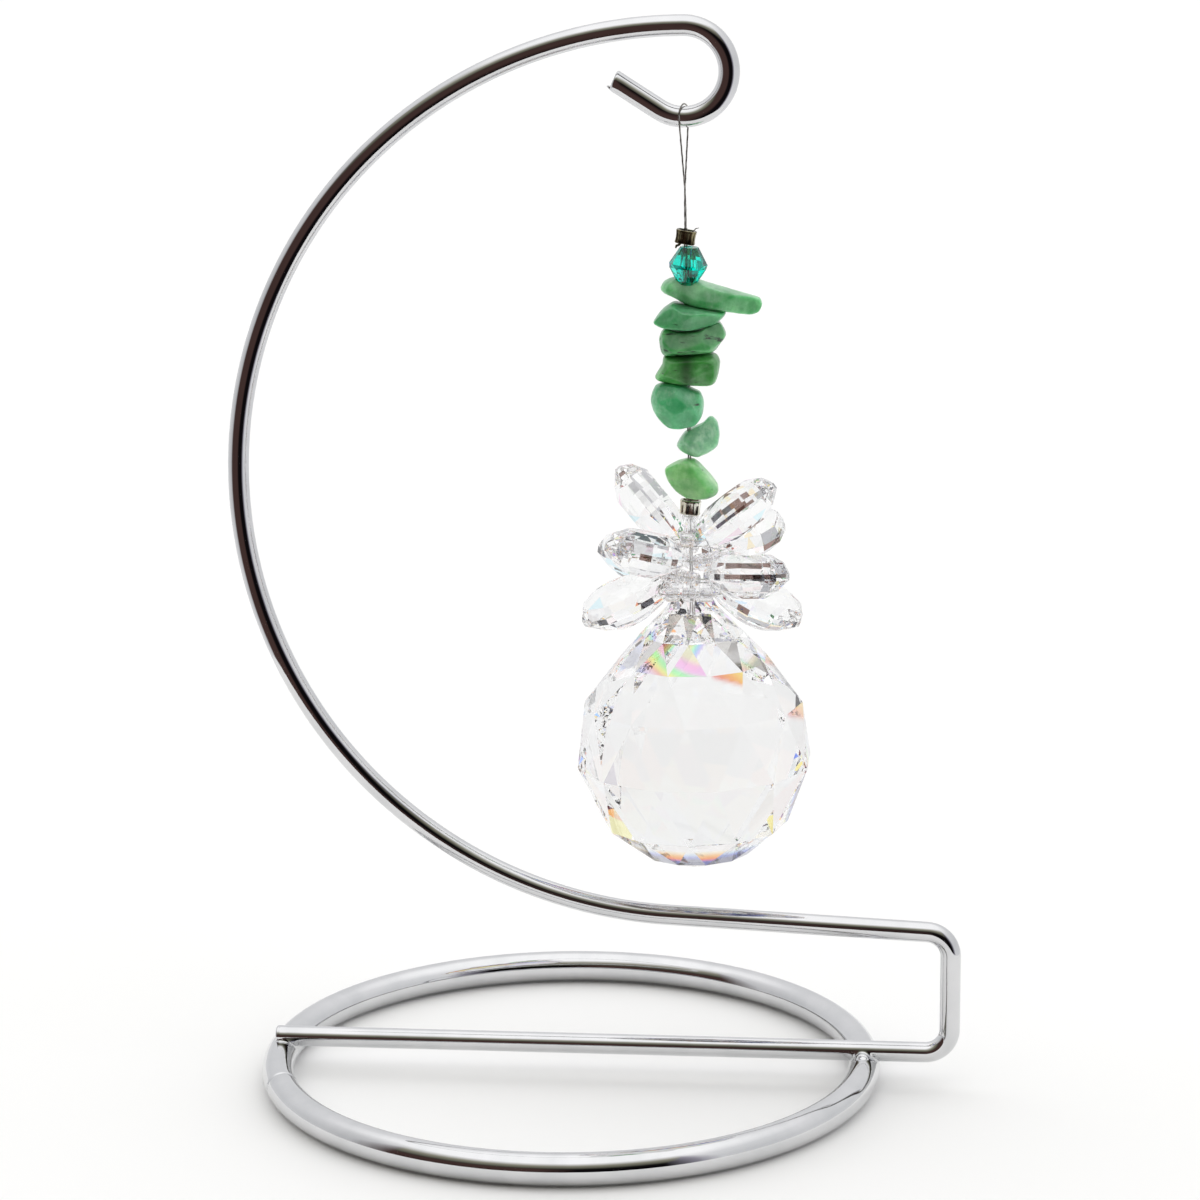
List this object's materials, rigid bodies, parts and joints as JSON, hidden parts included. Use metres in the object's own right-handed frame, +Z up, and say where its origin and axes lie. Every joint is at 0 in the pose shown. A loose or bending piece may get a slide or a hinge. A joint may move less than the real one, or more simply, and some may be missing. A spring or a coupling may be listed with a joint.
{
  "type": "crystal suncatcher",
  "caption": "Faceted clear crystal ball under a crown of crystal petals and green stone chips, hung on its own chrome wire table stand.",
  "frame": {"origin": "below the middle of the whole object, on the plane that the base ring stands on", "axes": "+Z up, +Y away from the camera side, +X towards the stand's upright; the bent arm lies in the XZ plane"},
  "size_m": [0.0936, 0.0804, 0.1378],
  "materials": {
    "chrome_wire": "bright polished chrome plate on bent wire",
    "string_steel": "fine bare steel bead wire",
    "crimp_metal": "pressed metal crimp, dark and a little tarnished",
    "teal_crystal": "see-through faceted teal crystal, polished",
    "green_stone": "tumbled green stone, waxy, cloudy and a little see-through, with dark flecks",
    "clear_crystal": "see-through faceted lead crystal, polished",
    "bead_crystal": "see-through small crystal beads, polished"
  },
  "bodies": {
    "root": {"base_ring": "chrome_wire", "wire_arm": "chrome_wire", "string_wire": "string_steel", "upper_crimp": "crimp_metal", "teal_bicone": "teal_crystal", "stone_chip_1": "green_stone", "stone_chip_2": "green_stone", "stone_chip_3": "green_stone", "stone_chip_4": "green_stone", "stone_chip_5": "green_stone", "stone_chip_6": "green_stone", "stone_chip_7": "green_stone", "lower_crimp": "crimp_metal", "top_spacer": "clear_crystal", "petal_1_left": "clear_crystal", "petal_1_right": "clear_crystal", "tier_wire_1": "string_steel", "crown_bead_1_1": "bead_crystal", "crown_bead_1_2": "bead_crystal", "petal_2_left": "clear_crystal", "petal_2_right": "clear_crystal", "tier_wire_2": "string_steel", "crown_bead_2_1": "bead_crystal", "crown_bead_2_2": "bead_crystal", "crown_bead_2_3": "bead_crystal", "crown_bead_2_4": "bead_crystal", "crown_bead_2_5": "bead_crystal", "crown_bead_2_6": "bead_crystal", "petal_3_left": "clear_crystal", "petal_3_right": "clear_crystal", "tier_wire_3": "string_steel", "crown_bead_3_1": "bead_crystal", "crown_bead_3_2": "bead_crystal", "crown_bead_3_3": "bead_crystal", "crown_bead_3_4": "bead_crystal", "crown_bead_3_5": "bead_crystal", "crown_bead_3_6": "bead_crystal", "crown_bead_3_7": "bead_crystal", "crown_bead_3_8": "bead_crystal", "petal_4_left": "clear_crystal", "petal_4_right": "clear_crystal", "tier_wire_4": "string_steel", "crown_bead_4_1": "bead_crystal", "crown_bead_4_2": "bead_crystal", "crown_bead_4_3": "bead_crystal", "crown_bead_4_4": "bead_crystal", "crown_bead_4_5": "bead_crystal", "crown_bead_4_6": "bead_crystal", "crystal_ball": "clear_crystal"}
  },
  "joints": []
}
